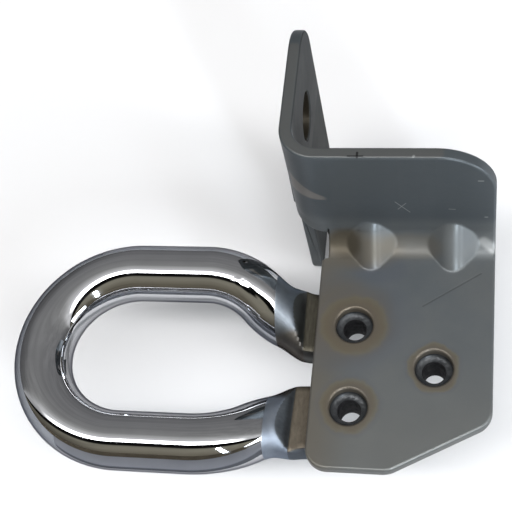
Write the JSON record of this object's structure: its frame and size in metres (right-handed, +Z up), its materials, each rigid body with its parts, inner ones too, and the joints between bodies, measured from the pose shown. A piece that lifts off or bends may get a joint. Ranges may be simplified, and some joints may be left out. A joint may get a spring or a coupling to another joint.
{
  "type": "tow hook",
  "caption": "Chromed forged tow loop with a flattened bolt pad, welded under a bent steel bracket that has an upright wall and a side flange.",
  "frame": {"origin": "centre of the side flange's bolt hole, on the flange's outer face", "axes": "+X away from the loop's nose along the base plate, +Y away from the loop towards the flange's rear edge, +Z up from the base plate"},
  "size_m": [0.2267, 0.2083, 0.136],
  "materials": {
    "chrome_bar": "polished",
    "coated_sheet": "satin",
    "weld_metal": "as welded"
  },
  "bodies": {
    "root": {"tow_loop": "chrome_bar", "bracket": "coated_sheet", "weld_ring_far": "weld_metal", "weld_ring_near": "weld_metal", "weld_ring_tip": "weld_metal"}
  },
  "joints": []
}
